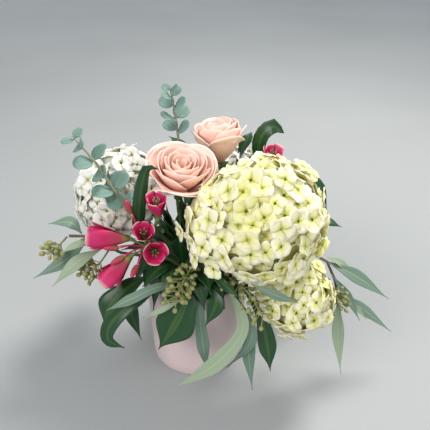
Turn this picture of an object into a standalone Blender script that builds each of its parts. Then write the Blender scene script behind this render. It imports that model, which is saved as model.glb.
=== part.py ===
"""Table centrepiece: roses, hydrangeas, alstroemeria and eucalyptus held by wet foam in a pot.

Metres in the file, millimetres in the tables below. The pot stands on z = 0 round the z axis and
the front of the arrangement faces -y.
"""
from math import acos, cos, exp, pi, radians, sin, sqrt

import bmesh
import bpy
from mathutils import Matrix, Vector

MM = 0.001
GAP = 0.3  # kept between touching pieces
GOLDEN_ANGLE = 2.39996  # radians, the turn from one floret or capsule to the next
CURVE_STEPS = 12  # samples of a smooth curve between two keys

POT_HEIGHT = 122.0
POT_BASE_RADIUS = 57.0
POT_RIM_RADIUS = 62.0
POT_WALL = 4.5
POT_FLOOR = 6.0
POT_FACETS = 40

FOAM_CLEARANCE = 1.2
FOAM_TOP = 145.0
FOAM_CHAMFER = 5.0

LEAF_THICKNESS = 1.0
PETAL_THICKNESS = 1.0
STEM_SIDES = 6
LEAF_SIDES = 8
WIDE_LEAF = 10.0  # half width above which a leaf gets LEAF_SIDES
LEAF_FOLD = 0.12  # rise of a leaf's edges over its half width
STEM_FACE = (0.31, 0.95, 0.07)  # a direction along which no stem runs
SEPAL_DEPTH = 0.18
BUMP = 5.0  # height of a group of florets

# colour, roughness and metallic of each material slot
MATERIALS = {
    "pot_ceramic": ((0.74, 0.55, 0.56), 0.45, 0.0),
    "foam_green": ((0.05, 0.16, 0.07), 0.95, 0.0),
    "stem_green": ((0.10, 0.22, 0.06), 0.65, 0.0),
    "rose_petal": ((0.93, 0.60, 0.54), 0.60, 0.0),
    "rose_calyx": ((0.12, 0.27, 0.07), 0.65, 0.0),
    "hydrangea_cream": ((0.85, 0.86, 0.50), 0.70, 0.0),
    "hydrangea_white": ((0.90, 0.90, 0.80), 0.70, 0.0),
    "alstroemeria_pink": ((0.66, 0.02, 0.16), 0.55, 0.0),
    "dark_leaf": ((0.01, 0.08, 0.01), 0.40, 0.0),
    "eucalyptus_leaf": ((0.14, 0.24, 0.18), 0.60, 0.0),
    "gum_leaf": ((0.13, 0.21, 0.16), 0.60, 0.0),
    "seed_capsule": ((0.27, 0.33, 0.09), 0.65, 0.0),
}

# roses: base of the flower, the way it faces, radius and height of the bloom, guard petals
ROSES = {
    "rose_front": dict(base=(-18, -5, 228), axis=(0.15, -0.26, 0.95), radius=38, height=52,
                       petals=4, turn=20, stem=((-5, -4, 104), (-6, -4, 145), (-15, -3, 190))),
    "rose_rear": dict(base=(31, 52, 236), axis=(-0.10, 0.06, 0.99), radius=31, height=60,
                      petals=3, turn=75, stem=((7, 12, 104), (8, 14, 145), (22, 38, 190))),
}

# hydrangeas: centre, the way the dome faces, radius, swellings (direction, height, spread in degrees),
# the stem's end inside the foam and the point where it leaves the foam
HYDRANGEAS = {
    "hydrangea_front": dict(centre=(70, -44, 217), axis=(0.20, -0.45, 0.87), radius=72, florets=46,
                            swellings=(((-0.90, -0.42, -0.05), 18, 30), ((-0.55, 0.45, 0.70), -9, 34)),
                            inside=(20.4, -11.9, 104), entry=(24, -14, 145),
                            slot="hydrangea_cream"),
    "hydrangea_low": dict(centre=(112, -58, 124), axis=(0.62, -0.72, 0.30), radius=44, florets=26,
                          swellings=(), inside=(36, -18, 130), entry=(53, -26, 136),
                          slot="hydrangea_cream"),
    "hydrangea_white": dict(centre=(-88, 42, 200), axis=(-0.55, -0.05, 0.83), radius=60, florets=36,
                            swellings=(), inside=(-23.8, 8.5, 104), entry=(-28, 10, 145),
                            slot="hydrangea_white"),
    "hydrangea_rear": dict(centre=(50, 104, 184), axis=(0.35, 0.74, 0.57), radius=52, florets=30,
                           swellings=(), inside=(11.9, 28.9, 104), entry=(14, 34, 145),
                           slot="hydrangea_white"),
}
UNDERSIDE = 0.55  # depth of a hydrangea's underside over its radius

# alstroemeria flowers in their order round the top of the stem: base of the trumpet, mouth centre
# and radius of the mouth
UMBEL = (-52, -40, 180)
UMBEL_AXIS = (-0.45, -0.45, 0.77)
UMBEL_RADIUS = 3.8
UMBEL_TURN = radians(180)
TRUMPETS = {
    "alstroemeria_left_flower_1": ((-70, -44, 194), (-120, -42, 197), 15),
    "alstroemeria_left_flower_2": ((-69, -51, 176), (-103, -54, 140), 15),
    "alstroemeria_left_flower_5": ((-43, -54, 186), (-39, -74, 194), 14),
    "alstroemeria_left_flower_4": ((-52, -54, 200), (-51, -68, 220), 11),
    "alstroemeria_left_flower_3": ((-36, -50, 226), (-37, -58, 254), 11),
}
REAR_TRUMPET = ((86, 46, 236), (92, 38, 266), 13)

# single leaves: points from inside the foam or from a branch to the tip, half widths at those
# points, the way the upper face looks
LEAVES = {
    "salal_leaf_front": dict(keys=((-5, -42, 130), (-7, -60, 138), (-9, -73, 130), (-21, -82, 106),
                                   (-41, -86, 72)), half=(1.1, 1.1, 12, 21, 0.8), face=(0.1, -0.8, 0.5)),
    "salal_leaf_right_front": dict(keys=((38, -33, 126), (50, -45, 132), (72, -62, 112), (84, -70, 63),
                                         (89, -76, 27)), half=(1.1, 1.1, 6, 11, 0.8),
                                   face=(0.2, -0.9, 0.3)),
    "salal_leaf_left": dict(keys=((-36, -26, 132), (-52, -36, 138), (-78, -47, 128), (-97, -58, 110),
                                  (-106, -62, 86)), half=(1.1, 1.1, 9, 17, 0.8), face=(-0.4, -0.6, 0.7)),
    "salal_leaf_top": dict(keys=((26, 34, 104), (28, 36, 145), (70, 58, 215), (76, 52, 270),
                                 (90, 50, 287), (103, 50, 279)), half=(1.1, 1.1, 2, 9, 9, 0.8),
                           face=(-0.3, -0.8, 0.5)),
    "salal_leaf_right": dict(keys=((38, 12, 104), (42, 14, 145), (88, 44, 194), (118, 28, 234),
                                   (140, 14, 228), (154, 4, 196)), half=(1.1, 1.1, 3, 11, 12, 0.8),
                             face=(0.4, -0.3, 0.85)),
    "salal_leaf_rear_left": dict(keys=((-24, 36, 126), (-36, 46, 142), (-72, 92, 165), (-104, 112, 158),
                                       (-128, 122, 128)), half=(1.1, 1.1, 10, 20, 0.8),
                                 face=(-0.2, 0.5, 0.85)),
    "salal_leaf_rear": dict(keys=((-6, 42, 130), (-8, 60, 138), (-14, 78, 132), (-22, 92, 100),
                                  (-26, 96, 58)), half=(1.1, 1.1, 11, 20, 0.8), face=(-0.1, 0.85, 0.4)),
    "salal_leaf_rear_right": dict(keys=((36, 28, 126), (48, 40, 138), (92, 62, 138), (124, 66, 124),
                                        (146, 62, 94)), half=(1.1, 1.1, 9, 18, 0.8),
                                  face=(0.4, 0.3, 0.85)),
    "alstroemeria_left_leaf": dict(keys=((-29, -19, 108), (-34, -21, 145), (-60, -31, 190),
                                         (-58, -44, 222), (-53, -50, 254), (-45, -53, 282),
                                         (-33, -57, 283)),
                                   half=(1.1, 1.1, 4, 7, 7, 5, 0.8), face=(-0.2, 0.9, 0.2)),
    "gum_leaf_1": dict(keys=((7, -43, 124), (8, -60, 132), (6, -74, 116), (9, -77, 72), (14, -80, 31)),
                       half=(1.0, 1.0, 5, 7, 0.8), face=(0.2, -0.9, 0.2)),
    "gum_leaf_2": dict(keys=((24, -38, 127), (33, -50, 137), (55, -76, 98), (25, -92, 57),
                             (-25, -95, 20)), half=(1.0, 1.0, 6, 9, 0.8), face=(-0.2, -0.7, 0.6)),
    "gum_leaf_3": dict(keys=((30, -36, 120), (40, -50, 129), (64, -68, 92), (62, -74, 58),
                             (67, -91, 12)), half=(1.0, 1.0, 4, 8, 0.8), face=(0.1, -0.95, 0.2)),
    "gum_leaf_4": dict(keys=((-16, -40, 132), (-20, -56, 140), (-40, -71, 148), (-68, -80, 139),
                             (-96, -82, 125)), half=(1.0, 1.0, 5, 6, 0.8), face=(0.0, -0.6, 0.8)),
    "salal_leaf_twisted": dict(keys=((-26, -34, 126), (-38, -48, 132), (-66, -66, 126), (-92, -76, 104),
                                     (-99, -78, 80), (-80, -82, 70)),
                               half=(1.1, 1.1, 8, 9, 8, 0.8), face=(-0.3, -0.9, 0.2)),
}

# branches of seeded eucalyptus: stem points, then the leaves and seed clusters seated on them
BRANCHES = {
    "seeded_left": dict(stem=((-36, -8, 108), (-42, -9, 144), (-84, -22, 160), (-118, -27, 186),
                              (-140, -29, 188)), radius=1.8),
    "seeded_right": dict(stem=((38, 2, 132), (54, 3, 138), (104, 4, 146), (148, -4, 146),
                               (166, -12, 120), (174, -20, 92)), radius=1.8),
}
BRANCH_LEAVES = {
    "seeded_left_leaf_1": dict(on=("seeded_left", 0.86, (0.1, -0.1, 1)),
                               keys=((-138, -25, 203), (-162, -26, 202)),
                               half=(0.9, 7, 0.8), face=(0, -0.3, 0.95)),
    "seeded_left_leaf_2": dict(on=("seeded_left", 0.80, (-0.3, -0.4, -0.8)),
                               keys=((-146, -36, 160), (-185, -41, 138)),
                               half=(0.9, 8, 0.8), face=(-0.3, -0.6, 0.7)),
    "seeded_left_leaf_3": dict(on=("seeded_left", 0.68, (-0.3, -0.9, 0.1)),
                               keys=((-130, -50, 166), (-158, -60, 141)),
                               half=(0.9, 7, 0.8), face=(-0.2, -0.7, 0.7)),
    "seeded_right_leaf_1": dict(on=("seeded_right", 0.66, (0.8, -0.2, 0.5)),
                                keys=((190, -20, 126), (233, -26, 96)),
                                half=(0.9, 9, 0.8), face=(0.3, -0.6, 0.7)),
    "seeded_right_leaf_2": dict(on=("seeded_right", 0.93, (0.9, -0.2, 0.1)),
                                keys=((202, -30, 84), (240, -36, 53)),
                                half=(0.9, 7, 0.8), face=(0.4, -0.6, 0.7)),
    "seeded_right_leaf_3": dict(on=("seeded_right", 0.99, (0.2, -0.8, -0.5)),
                                keys=((172, -42, 60), (176, -68, 14)),
                                half=(0.9, 8, 0.8), face=(0.2, -0.9, 0.3)),
}
# seed clusters: stalk points, number of capsules, where along the stalk they start, how far out
SEED_START = 0.5
SEED_REACH = 7.5
SEEDS = {
    "seeded_left_seeds_1": dict(on=("seeded_left", 0.98, (-0.4, -0.9, 0)),
                                keys=((-148, -40, 184), (-158, -44, 176)), count=5),
    "seeded_left_seeds_2": dict(on=("seeded_left", 0.58, (-0.2, -0.7, -0.6)),
                                keys=((-108, -38, 157), (-124, -44, 146)), count=6),
    "seeded_right_seeds": dict(on=("seeded_right", 0.80, (-0.2, -0.9, -0.2)),
                               keys=((165, -32, 112), (168, -38, 98)), count=6),
    "seeded_front_seeds_1": dict(keys=((-1, -28, 112), (-3, -40, 145), (-10, -72, 160), (-18, -98, 152)),
                                 count=6),
    "seeded_front_seeds_2": dict(keys=((20, -24, 112), (26, -40, 145), (56, -78, 150), (74, -94, 128)),
                                 count=7),
}

# sprigs of round-leaved eucalyptus: stem points, leaf pairs as (place along the stem, radius)
SPRIGS = {
    "eucalyptus_left": dict(stem=((-18, -9, 108), (-21, -10, 145), (-56, -26, 190), (-82, -28, 240),
                                  (-104, -16, 272), (-128, -6, 298)),
                            leaves=((0.62, 11), (0.72, 11), (0.82, 10), (0.91, 8), (0.985, 6))),
    "eucalyptus_top": dict(stem=((-6, 16, 104), (-7, 19, 145), (-16, 44, 220), (-21, 52, 285),
                                 (-27, 52, 334)),
                           leaves=((0.78, 10), (0.86, 10), (0.93, 8), (0.985, 6))),
}


def clear_scene():
    for item in list(bpy.data.objects):
        bpy.data.objects.remove(item, do_unlink=True)


def make_materials():
    made = {}
    for name, (colour, roughness, metallic) in MATERIALS.items():
        material = bpy.data.materials.new(name)
        material.use_nodes = True
        shader = material.node_tree.nodes["Principled BSDF"]
        shader.inputs["Base Color"].default_value = (*colour, 1.0)
        shader.inputs["Roughness"].default_value = roughness
        shader.inputs["Metallic"].default_value = metallic
        made[name] = material
    return made


def add_object(name, bm, material=None, smooth=True):
    """Put a mesh drawn in millimetres into the file as one object, faces outwards."""
    bmesh.ops.recalc_face_normals(bm, faces=bm.faces)
    bmesh.ops.scale(bm, vec=(MM, MM, MM), verts=bm.verts)
    mesh = bpy.data.meshes.new(name)
    for face in bm.faces:
        face.smooth = smooth
    bm.to_mesh(mesh)
    bm.free()
    item = bpy.data.objects.new(name, mesh)
    bpy.context.scene.collection.objects.link(item)
    if material is not None:
        mesh.materials.append(material)
    return item


def curve_points(keys, count):
    """Return count points evenly spaced along a smooth curve through the keys."""
    keys = [Vector(key) for key in keys]
    fine = []
    for i in range(len(keys) - 1):
        before = keys[i - 1] if i > 0 else keys[0] * 2 - keys[1]
        after = keys[i + 2] if i + 2 < len(keys) else keys[-1] * 2 - keys[-2]
        a, b = keys[i], keys[i + 1]
        for step in range(CURVE_STEPS):
            t = step / CURVE_STEPS
            fine.append(0.5 * (2 * a + (b - before) * t + (2 * before - 5 * a + 4 * b - after) * t ** 2
                               + (3 * a - before - 3 * b + after) * t ** 3))
    fine.append(keys[-1])
    marks = [0.0]
    for a, b in zip(fine, fine[1:]):
        marks.append(marks[-1] + (b - a).length)
    key_marks = [marks[CURVE_STEPS * i] / marks[-1] for i in range(len(keys))]
    points = []
    for n in range(count):
        goal = marks[-1] * n / (count - 1)
        i = max(j for j in range(len(fine) - 1) if marks[j] <= goal + 1e-9)
        part = (goal - marks[i]) / max(marks[i + 1] - marks[i], 1e-9)
        points.append(fine[i].lerp(fine[i + 1], part))
    return points, key_marks


def between(marks, values, place):
    """Read a value given at marks, eased between them."""
    for i in range(len(marks) - 1):
        if place <= marks[i + 1] + 1e-9:
            t = (place - marks[i]) / (marks[i + 1] - marks[i])
            t = t * t * (3 - 2 * t)
            return values[i] + (values[i + 1] - values[i]) * t
    return values[-1]


def add_loops(bm, loops):
    """Skin a list of vertex loops of one length and close both ends."""
    rows = [[bm.verts.new(point) for point in loop] for loop in loops]
    size = len(rows[0])
    for low, high in zip(rows, rows[1:]):
        for i in range(size):
            j = (i + 1) % size
            bm.faces.new((low[i], low[j], high[j], high[i]))
    bm.faces.new(rows[0])
    bm.faces.new(reversed(rows[-1]))
    bmesh.ops.triangulate(bm, faces=bm.faces)


def sweep(bm, keys, half, thick, face, sides, stations, grow=0.0, fold=0.0):
    """Skin an oval section along a curve: half is the half width at each key, thick the other one."""
    points, marks = curve_points(keys, stations)
    loops = []
    for n, point in enumerate(points):
        ahead = points[min(n + 1, stations - 1)] - points[max(n - 1, 0)]
        ahead.normalize()
        normal = Vector(face) - ahead * Vector(face).dot(ahead)
        normal.normalize()
        side = ahead.cross(normal)
        place = n / (stations - 1)
        wide = between(marks, half, place)
        deep = between((0.0, 0.2, 1.0), (min(half[0], wide), thick / 2, thick / 2), place)
        deep = min(deep, wide) + grow
        if n == 0:
            point = point - ahead * grow
        if n == stations - 1:
            point = point + ahead * grow
        loop = []
        for k in range(sides):
            turn = 2 * pi * k / sides
            lift = fold * (wide + grow) * abs(cos(turn)) ** 2
            loop.append(point + side * (wide + grow) * cos(turn) + normal * (deep * sin(turn) + lift))
        loops.append(loop)
    add_loops(bm, loops)


def stem_mesh(name, grow=0.0):
    keys, radius = STEMS[name]
    half = [radius] * len(keys)
    if name == "alstroemeria_left_stem":
        half[-1] = UMBEL_RADIUS
    bm = bmesh.new()
    sweep(bm, keys, half, 2 * max(half), STEM_FACE, STEM_SIDES, stem_stations(name), grow)
    return bm


def stem_stations(name):
    return 12 if name in SPRIGS else 8


def point_on(keys, stations, place):
    """Return the point and the direction at a place (0 to 1) along a stem's centre line."""
    points, _ = curve_points(keys, stations)
    at = min(max(place, 0.0) * (stations - 1), stations - 1.001)
    low = points[int(at)]
    high = points[int(at) + 1]
    return low.lerp(high, at - int(at)), (high - low).normalized()


def seat(branch, place, way):
    """Return a point beside a branch from which a leaf or a stalk stands off it by the gap."""
    spec = BRANCHES[branch]
    point, along = point_on(spec["stem"], stem_stations(branch), place)
    way = Vector(way) - along * Vector(way).dot(along)
    return point + way.normalized() * (spec["radius"] + GAP + 0.5)


def keys_of(spec):
    """Return the points of a leaf or a stalk, the first one beside its branch if it has one."""
    if "on" not in spec:
        return spec["keys"]
    branch, place, way = spec["on"]
    return (seat(branch, place, way), *spec["keys"])


def leaf_mesh(spec, grow=0.0):
    bm = bmesh.new()
    keys = keys_of(spec)
    count = 3 + len(keys) * 2
    sides = LEAF_SIDES if max(spec["half"]) > WIDE_LEAF else STEM_SIDES
    sweep(bm, keys, spec["half"], LEAF_THICKNESS, spec["face"], sides, count, grow, LEAF_FOLD)
    return bm


def frame_of(base, axis):
    """Return a matrix whose z axis is the given axis and whose origin is the base."""
    turn = Vector(axis).normalized().to_track_quat("Z", "Y").to_matrix().to_4x4()
    return Matrix.Translation(Vector(base)) @ turn


def lathe_loops(profile, facets, lobes=0, depth=0.0):
    """Return the rings of a turned profile of (radius, height) points, optionally lobed."""
    loops = []
    for radius, height in profile:
        loop = []
        for k in range(facets):
            turn = 2 * pi * k / facets
            reach = radius * (1 + depth * cos(lobes * turn))
            loop.append(Vector((reach * cos(turn), reach * sin(turn), height)))
        loops.append(loop)
    return loops


def pot_mesh():
    inner_base = POT_BASE_RADIUS - POT_WALL
    inner_rim = POT_RIM_RADIUS - POT_WALL
    profile = ((54.5, 0), (56.3, 0.7), (POT_BASE_RADIUS, 2.5), (POT_RIM_RADIUS, POT_HEIGHT - 2.0),
               (POT_RIM_RADIUS - 0.7, POT_HEIGHT - 0.5), (POT_RIM_RADIUS - 2.2, POT_HEIGHT),
               (inner_rim + 0.7, POT_HEIGHT - 0.5), (inner_rim, POT_HEIGHT - 2.0),
               (inner_base, POT_FLOOR + 3.0), (inner_base - 3.0, POT_FLOOR))
    bm = bmesh.new()
    add_loops(bm, lathe_loops(profile, POT_FACETS))
    return bm


def foam_mesh():
    low = POT_BASE_RADIUS - POT_WALL - FOAM_CLEARANCE
    high = POT_RIM_RADIUS - POT_WALL - FOAM_CLEARANCE
    profile = ((low - 4.0, POT_FLOOR + GAP), (low, POT_FLOOR + 4.5), (high, POT_HEIGHT),
               (high, FOAM_TOP - FOAM_CHAMFER), (high - FOAM_CHAMFER, FOAM_TOP))
    bm = bmesh.new()
    add_loops(bm, lathe_loops(profile, POT_FACETS))
    return bm


def head_reach(spec, way):
    """Return the distance from a hydrangea's centre to its surface in a unit direction."""
    along = way.dot(Vector(spec["axis"]).normalized())
    radius = spec["radius"]
    height = radius * (1.0 if along > 0 else UNDERSIDE)
    reach = 1 / sqrt((1 - along * along) / radius ** 2 + along * along / height ** 2)
    for direction, rise, spread in spec["swellings"]:
        away = acos(max(-1, min(1, way.dot(Vector(direction).normalized()))))
        reach += rise * exp(-(away / radians(spread)) ** 2)
    return reach


def head_mesh(spec):
    """Draw a hydrangea head: a flat-bottomed dome with a bump for each group of florets."""
    florets = []
    for n in range(spec["florets"]):
        up = 1 - 2 * (n + 0.5) / spec["florets"]
        out = sqrt(1 - up * up)
        florets.append(Vector((out * cos(n * GOLDEN_ANGLE), out * sin(n * GOLDEN_ANGLE), up)))
    spread = 1.15 / sqrt(spec["florets"])
    matrix = frame_of(spec["centre"], spec["axis"])
    turn = matrix.to_3x3()
    bm = bmesh.new()
    loops = []
    for i in range(12):
        lift = pi * (i + 0.35) / 11.7
        loop = []
        for k in range(22):
            way = Vector((sin(lift) * cos(pi * k / 11), sin(lift) * sin(pi * k / 11), -cos(lift)))
            bump = max(exp(-(way.angle(floret) / spread) ** 2) for floret in florets)
            reach = head_reach(spec, turn @ way) - BUMP + BUMP * bump
            loop.append(matrix @ (way * reach))
        loops.append(loop)
    add_loops(bm, loops)
    return bm


def head_stem(spec):
    """Return the points of the stem below a hydrangea, ending just under the head."""
    centre = Vector(spec["centre"])
    inside = Vector(spec["inside"])
    entry = Vector(spec["entry"])
    way = (entry - centre).normalized()
    under = -Vector(spec["axis"]).normalized()
    way = (way + 0.6 * under).normalized()
    end = centre + way * 0.55 * head_reach(spec, way)
    middle = entry.lerp(end, 0.55)
    return (inside, entry, middle, end)


def petal_mesh(spec, number):
    """Draw one guard petal as a curved plate; each petal starts inside the one before it."""
    tall = spec["height"] / 52
    wide = spec["radius"] / 38
    profile = ((9.5, 5.0), (17, 8.0), (26, 16), (31.5, 27), (34, 38), (36.5, 46), (40.5, 48.5))
    matrix = frame_of(spec["base"], spec["axis"])
    centre = radians(spec["turn"] + 360 / spec["petals"] * number)
    half_angle = radians(360 / spec["petals"] * 0.66)
    across = 7
    bm = bmesh.new()
    sheets = []
    for offset in (-PETAL_THICKNESS / 2, PETAL_THICKNESS / 2):
        sheet = []
        for j, (radius, height) in enumerate(profile):
            row = []
            fullness = sin(pi * (0.24 + 0.50 * j / (len(profile) - 1)))
            for i in range(across):
                u = 2 * i / (across - 1) - 1
                turn = centre + half_angle * u * fullness
                reach = radius * wide + 2.6 * (u * fullness + 1) / 2 + offset
                drop = 5.0 * max(0.0, u) ** 2 * max(0, j - 3) / 3
                row.append(Vector((reach * cos(turn), reach * sin(turn), (height - drop) * tall)))
            sheet.append(row)
        sheets.append(sheet)
    verts = [[[bm.verts.new(matrix @ p) for p in row] for row in sheet] for sheet in sheets]
    rows = len(profile)
    for j in range(rows - 1):
        for i in range(across - 1):
            for sheet in verts:
                bm.faces.new((sheet[j][i], sheet[j][i + 1], sheet[j + 1][i + 1], sheet[j + 1][i]))
    edge = [(0, i) for i in range(across)]
    edge += [(j, across - 1) for j in range(1, rows)]
    edge += [(rows - 1, i) for i in range(across - 2, -1, -1)]
    edge += [(j, 0) for j in range(rows - 2, 0, -1)]
    for (ja, ia), (jb, ib) in zip(edge, edge[1:] + edge[:1]):
        bm.faces.new((verts[0][ja][ia], verts[0][jb][ib], verts[1][jb][ib], verts[1][ja][ia]))
    return bm


def heart_mesh(spec):
    """Draw the rolled petals in the middle of a rose as one turned, fluted bud."""
    tall = spec["height"] / 52
    wide = spec["radius"] / 38
    low = 3.4 + 0.4  # just above the calyx
    profile = ((3, low / tall), (7, (low + 2.6) / tall), (14, 10.5), (22, 17), (27.5, 27), (29.5, 38),
               (29, 47), (26, 52), (20, 51), (15, 46), (11, 49), (5, 50))
    bm = bmesh.new()
    loops = []
    matrix = frame_of(spec["base"], spec["axis"])
    for j, (radius, height) in enumerate(profile):
        loop = []
        for k in range(15):
            turn = 2 * pi * k / 15
            flute = 1 - 0.05 * (1 - cos(5 * (turn + 0.12 * j))) / 2
            reach = radius * wide * flute
            loop.append(matrix @ Vector((reach * cos(turn), reach * sin(turn), height * tall)))
        loops.append(loop)
    add_loops(bm, loops)
    return bm


def calyx_mesh(spec):
    """Draw the hip and the cup of five sepals under a rose."""
    profile = ((2.2, -8), (4.4, -5.5), (5.4, -2), (5.6, 1), (8.5, 3.0), (8.0, 4.0), (3.0, 3.4))
    matrix = frame_of(spec["base"], spec["axis"])
    bm = bmesh.new()
    loops = []
    for j, (radius, height) in enumerate(profile):
        depth = SEPAL_DEPTH if j in (4, 5) else 0.0
        ring = lathe_loops(((radius, height),), 15, 5, depth)[0]
        loops.append([matrix @ point for point in ring])
    add_loops(bm, loops)
    return bm


def trumpet_mesh(start, base, mouth, radius):
    """Draw a stalk that widens into a six-pointed trumpet, hollow at its mouth."""
    keys = (start, base, Vector(base).lerp(Vector(mouth), 0.55), mouth)
    steps = 40
    points, marks = curve_points(keys, steps + 1)
    stop = marks[1]
    outer = ((0.0, 1.0), (stop * 0.7, 1.1), (stop * 0.9, 2.2), (stop, 2.8), (stop + 0.08, 2.6),
             (stop + 0.4 * (1 - stop), 0.36 * radius), (stop + 0.75 * (1 - stop), 0.68 * radius),
             (1.0, radius))
    inner = ((stop + 0.77 * (1 - stop), 0.60 * radius), (stop + 0.46 * (1 - stop), 0.25 * radius))
    bm = bmesh.new()
    loops = []
    for place, reach in outer + inner:
        n = min(steps, max(0, round(place * steps)))
        ahead = (points[min(n + 1, steps)] - points[max(n - 1, 0)]).normalized()
        side = ahead.cross(Vector((0.2, 0.1, 0.97))).normalized()
        up = side.cross(ahead)
        depth = 0.16 * max(0.0, reach / radius - 0.3)
        loop = []
        for k in range(12):
            turn = 2 * pi * k / 12
            out = reach * (1 + depth * cos(6 * turn))
            loop.append(points[n] + side * out * cos(turn) + up * out * sin(turn))
        loops.append(loop)
    add_loops(bm, loops)
    return bm


def joined(name, base, extras, material):
    """Join branchlets that start inside a stem to it, so the grown piece is one solid."""
    item = add_object(name, base, material)
    tool = add_object(name + "_branchlets", extras)
    tool.hide_render = True
    tool.display_type = "WIRE"
    join = item.modifiers.new("join", "BOOLEAN")
    join.operation = "UNION"
    join.solver = "EXACT"
    join.use_self = True
    join.object = tool
    return item


def seeds_mesh(name, grow=0.0):
    """Draw a stalk whose end swells to one side and another, a bulge for each seed capsule."""
    keys, radius = STEMS[name]
    count = SEEDS[name]["count"]
    stations = 9 * count  # enough for each capsule to read as round
    points, _ = curve_points(keys, stations)
    bm = bmesh.new()
    loops = []
    for n, point in enumerate(points):
        ahead = (points[min(n + 1, stations - 1)] - points[max(n - 1, 0)]).normalized()
        side = ahead.cross(Vector(STEM_FACE)).normalized()
        up = side.cross(ahead)
        along = max(0.0, (n / (stations - 1) - SEED_START) / (1 - SEED_START)) * count
        bulge = sin(pi * (along - int(along)))
        loop = []
        for k in range(8):
            turn = 2 * pi * k / 8
            swell = max(0.0, cos(turn - GOLDEN_ANGLE * int(along))) ** 2
            reach = radius + grow + SEED_REACH * bulge * swell
            loop.append(point + side * reach * cos(turn) + up * reach * sin(turn))
        bare = n / (stations - 1) < SEED_START - 0.02
        if 0 < n < stations - 1 and bare and n % 4:
            continue  # the bare stalk needs few rings
        loops.append(loop)
    add_loops(bm, loops)
    return bm


def sprig_extras(spec):
    """Draw round leaves in crossed pairs, each starting inside the stem."""
    bm = bmesh.new()
    for pair, (place, radius) in enumerate(spec["leaves"]):
        point, ahead = point_on(spec["stem"], 12, place)
        side = ahead.cross(Vector((0.1, 0.9, 0.3))).normalized()
        up = side.cross(ahead)
        for hand in (-1, 1):
            turn = pair * pi / 2 + 0.5
            way = (side * cos(turn) + up * sin(turn)) * hand + ahead * 0.5
            way.normalize()
            start = point + way * 0.95
            line = [start + way * reach for reach in (0, 3, 3 + 0.6 * radius, 3 + 1.5 * radius,
                                                      3 + 2.1 * radius)]
            sweep(bm, line, (0.55, 0.6, 0.9 * radius, radius * 0.85, 0.7), LEAF_THICKNESS,
                  ahead, 6, 6)
    return bm


def grown(name):
    """Return the mesh of a piece grown by the gap, to cut its place in a neighbour."""
    if name in LEAVES:
        return leaf_mesh(LEAVES[name], GAP + 0.1)
    if name in SEEDS:
        return seeds_mesh(name, GAP)
    return stem_mesh(name, GAP)


def cut_places(item, names):
    """Cut the places of the named pieces out of an object."""
    group = bpy.data.collections.new(item.name + "_cutters")
    bpy.context.scene.collection.children.link(group)
    for name in names:
        tool = add_object(name + "_in_" + item.name, grown(name))
        bpy.context.scene.collection.objects.unlink(tool)
        group.objects.link(tool)
        tool.hide_render = True
        tool.display_type = "WIRE"
    cut = item.modifiers.new("places", "BOOLEAN")
    cut.operation = "DIFFERENCE"
    cut.solver = "EXACT"
    cut.operand_type = "COLLECTION"
    cut.collection = group


def stem_table():
    """List every round stem by name with its points and radius."""
    table = {}
    for name, spec in ROSES.items():
        base = Vector(spec["base"])
        axis = Vector(spec["axis"]).normalized()
        end = base - axis * (8 + GAP + 0.3)
        table[name + "_stem"] = ((*spec["stem"], base - axis * 18, end), 2.2)
    for name, spec in HYDRANGEAS.items():
        table[name + "_stem"] = (head_stem(spec), 3.0)
    top = Vector(UMBEL)
    below = top - Vector(UMBEL_AXIS) * 18
    table["alstroemeria_left_stem"] = (((-15, -24, 106), (-17, -27, 145), below, top), 2.0)
    table["alstroemeria_rear_stem"] = (((32, 22, 104), (34, 24, 145), (62, 46, 185), (80, 50, 222)), 2.0)
    for name, spec in BRANCHES.items():
        table[name + "_stem"] = (spec["stem"], spec["radius"])
    for name, spec in SPRIGS.items():
        table[name] = (spec["stem"], 1.5)
    for name, spec in SEEDS.items():
        table[name] = (keys_of(spec), 1.0)
    return table


STEMS = stem_table()


def main():
    clear_scene()
    slots = make_materials()
    add_object("pot", pot_mesh(), slots["pot_ceramic"])
    foam = add_object("foam", foam_mesh(), slots["foam_green"], smooth=False)
    in_foam = [name for name, (keys, _) in STEMS.items() if Vector(keys[0]).xy.length < 50]
    in_foam += [name for name in LEAVES]
    cut_places(foam, in_foam)

    for name, spec in ROSES.items():
        add_object(name + "_calyx", calyx_mesh(spec), slots["rose_calyx"])
        add_object(name + "_heart", heart_mesh(spec), slots["rose_petal"])
        for number in range(spec["petals"]):
            add_object(f"{name}_petal_{number + 1}", petal_mesh(spec, number), slots["rose_petal"])

    for name, spec in HYDRANGEAS.items():
        head = add_object(name + "_head", head_mesh(spec), slots[spec["slot"]])
        cut_places(head, [name + "_stem"])

    umbel = frame_of(UMBEL, UMBEL_AXIS)
    for place, (name, (base, mouth, radius)) in enumerate(TRUMPETS.items()):
        turn = UMBEL_TURN + 2 * pi * place / len(TRUMPETS)
        start = umbel @ Vector((2.7 * cos(turn), 2.7 * sin(turn), GAP + 0.65))
        add_object(name, trumpet_mesh(start, base, mouth, radius), slots["alstroemeria_pink"])
    base, mouth, radius = REAR_TRUMPET
    start = Vector(STEMS["alstroemeria_rear_stem"][0][-1])
    start += (Vector(base) - start).normalized() * 0.5
    add_object("alstroemeria_rear_flower", trumpet_mesh(start, base, mouth, radius),
               slots["alstroemeria_pink"])

    for name in STEMS:
        if name in SPRIGS:
            joined(name, stem_mesh(name), sprig_extras(SPRIGS[name]),
                   slots["eucalyptus_leaf"])
        elif name in SEEDS:
            add_object(name, seeds_mesh(name), slots["seed_capsule"])
        else:
            add_object(name, stem_mesh(name), slots["stem_green"])

    for name, spec in LEAVES.items():
        slot = "gum_leaf" if name.startswith("gum") else "dark_leaf"
        add_object(name, leaf_mesh(spec), slots[slot])
    for name, spec in BRANCH_LEAVES.items():
        add_object(name, leaf_mesh(spec), slots["gum_leaf"])


main()
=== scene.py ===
import random
from math import acos, cos, exp, pi, radians, sin, sqrt

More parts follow.
